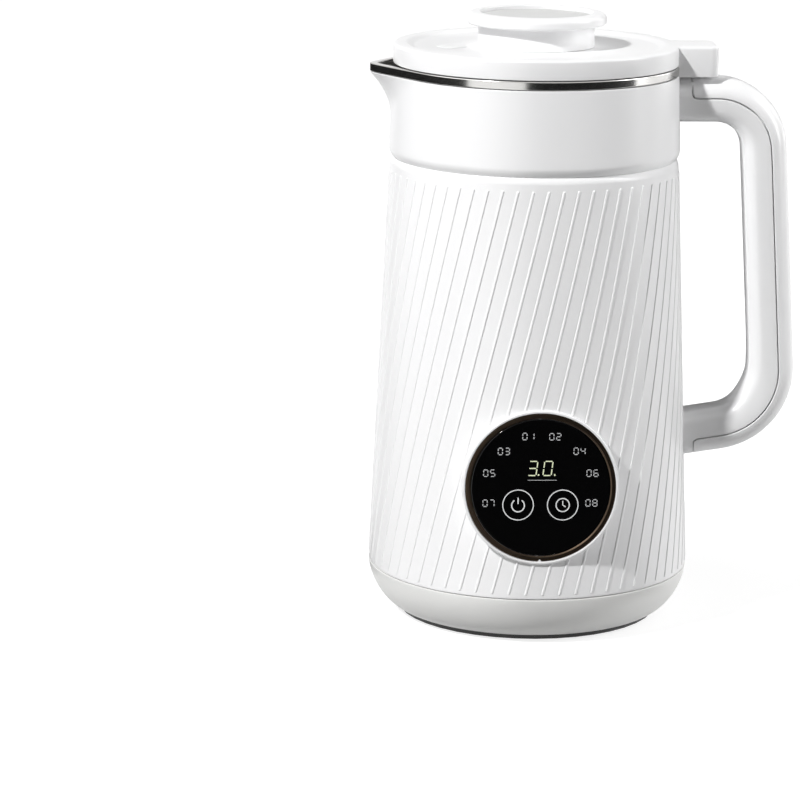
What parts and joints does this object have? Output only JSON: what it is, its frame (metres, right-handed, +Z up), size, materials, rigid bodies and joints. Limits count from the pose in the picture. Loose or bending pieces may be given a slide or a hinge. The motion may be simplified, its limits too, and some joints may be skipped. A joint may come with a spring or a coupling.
{
  "type": "baby food maker",
  "caption": "Heated jug blender for baby food: ribbed tapered body, steel liner with spout, looped handle, lift-off lid with round knob, round touch panel.",
  "frame": {"origin": "on the jug's axis, at the underside of the bottom plate; the rubber feet reach 1.2 mm lower", "axes": "+Z up along the jug's axis, +X towards the handle, -X towards the spout, -Y towards the panel"},
  "size_m": [0.1661, 0.1268, 0.2347],
  "materials": {
    "white_abs": "satin moulded",
    "pale_abs": "satin moulded",
    "grey_abs": "satin moulded",
    "black_nylon": "fine moulded grain",
    "black_lens": "polished",
    "bronze_trim": "anodised bronze, satin",
    "liner_steel": "fine polish inside, brushed rim",
    "turned_steel": "turned and ground",
    "zinc_steel": "zinc plated",
    "cast_aluminium": "pressed",
    "copper_bars": "turned copper",
    "bearing_bronze": "sintered",
    "pin_brass": "drawn",
    "black_rubber": "moulded",
    "clear_silicone": "moulded silicone",
    "board_laminate": "solder mask",
    "ferrite": "pressed and ground",
    "carbon_block": "pressed carbon"
  },
  "bodies": {
    "housing": {"base_screw_1": "zinc_steel", "base_screw_2": "zinc_steel", "base_screw_3": "zinc_steel", "base_shell": "pale_abs", "bearing_bottom": "bearing_bronze", "bearing_top": "bearing_bronze", "body_shell": "white_abs", "bottom_plate": "black_nylon", "brush_left": "carbon_block", "brush_right": "carbon_block", "collar": "white_abs", "control_board": "board_laminate", "display_module": "black_nylon", "foot_1": "black_rubber", "foot_2": "black_rubber", "foot_3": "black_rubber", "foot_4": "black_rubber", "handle_cover": "white_abs", "handle_inner": "white_abs", "handle_screw_lower": "zinc_steel", "handle_screw_upper": "zinc_steel", "heater_plate": "cast_aluminium", "heating_element": "zinc_steel", "inlet_pin_1": "pin_brass", "inlet_pin_2": "pin_brass", "inlet_pin_3": "pin_brass", "magnet_left": "ferrite", "magnet_right": "ferrite", "motor_can": "zinc_steel", "motor_carrier": "black_nylon", "motor_end_cap": "black_nylon", "overflow_probe": "liner_steel", "panel_bezel": "white_abs", "panel_lens": "black_lens", "panel_ring": "bronze_trim", "power_board": "board_laminate", "power_inlet": "black_nylon", "reed_switch": "black_lens", "seal_housing": "liner_steel", "shaft_seal": "black_rubber", "steel_jug": "liner_steel", "thermostat": "cast_aluminium", "touch_spring_left": "turned_steel", "touch_spring_right": "turned_steel"},
    "lid": {"lid_shell": "white_abs", "lid_inner_cover": "white_abs", "lid_seal": "clear_silicone", "lid_magnet": "ferrite", "tab_cover": "white_abs", "knob_base": "white_abs", "knob_cap": "white_abs", "knob_insert": "grey_abs", "knob_screw": "zinc_steel", "steam_vent": "white_abs"},
    "rotor": {"drive_shaft": "turned_steel", "blade": "turned_steel", "blade_nut": "turned_steel", "rotor_core": "turned_steel", "commutator": "copper_bars", "cooling_fan": "black_nylon"}
  },
  "joints": [
    {"name": "lid_lift", "type": "slide", "parent": "housing", "child": "lid", "axis": [0, 0, 1], "range_m": [0, 0.06]},
    {"name": "rotor_spin", "type": "hinge", "parent": "housing", "child": "rotor", "pos_m": [0, 0, 0.1], "axis": [0, 0, 1], "continuous": true}
  ]
}
